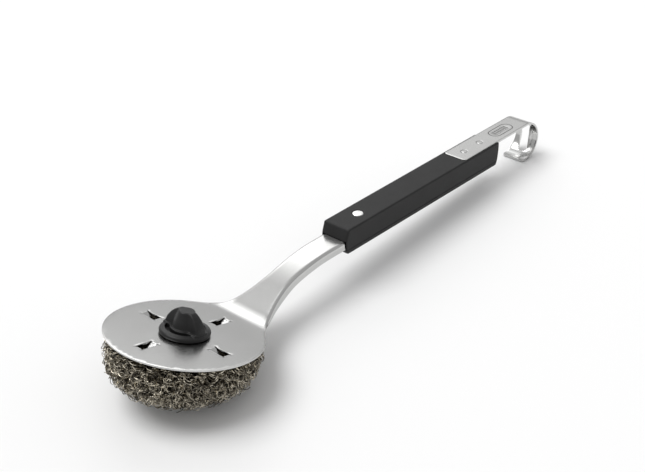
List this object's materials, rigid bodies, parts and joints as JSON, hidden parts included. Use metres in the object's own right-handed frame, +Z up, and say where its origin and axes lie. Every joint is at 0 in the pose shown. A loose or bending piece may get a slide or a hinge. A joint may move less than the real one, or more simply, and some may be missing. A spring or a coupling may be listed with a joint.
{
  "type": "grill cleaning brush",
  "caption": "Long-handled grill brush: steel disc with claws and a screw knob that clamps a knitted steel scouring pad, black plastic handle, hooked steel hanger strip.",
  "frame": {"origin": "centre of the bounding box's bottom face, on the surface the brush lies on", "axes": "+X from the head to the hook, +Y to the left of the handle seen from behind the head, +Z up"},
  "size_m": [0.4182, 0.1, 0.0548],
  "materials": {
    "stainless_sheet": "satin brushed",
    "zinc_steel": "bright zinc",
    "scourer_steel": "knitted flat wire",
    "black_plastic": "fine matt moulding texture"
  },
  "bodies": {
    "frame": {"head_plate": "stainless_sheet", "thrust_washer": "zinc_steel", "handle_upper_shell": "black_plastic", "handle_lower_shell": "black_plastic", "hanger_strip": "stainless_sheet", "front_rivet_tube": "stainless_sheet", "front_rivet_pin": "stainless_sheet", "middle_rivet_tube": "stainless_sheet", "middle_rivet_pin": "stainless_sheet", "rear_rivet_tube": "stainless_sheet", "rear_rivet_pin": "stainless_sheet"},
    "knob": {"knob_grip": "black_plastic", "knob_stud": "zinc_steel", "retaining_ring": "zinc_steel"},
    "clamp": {"clamp_dish": "stainless_sheet", "clamp_nut": "zinc_steel", "scouring_pad": "scourer_steel"}
  },
  "joints": [
    {"name": "knob_turn", "type": "hinge", "parent": "frame", "child": "knob", "pos_m": [-0.15731, 0, 0.039], "axis": [0.2879, 0, 0.9576], "range_deg": [0, 1801]},
    {"name": "clamp_travel", "type": "slide", "parent": "frame", "child": "clamp", "axis": [-0.2879, 0, -0.9576], "range_m": [0, 0.005]}
  ],
  "couplings": [
    {"joint": "knob_turn", "follows": "clamp_travel", "rad_per_m": 6283.2}
  ]
}
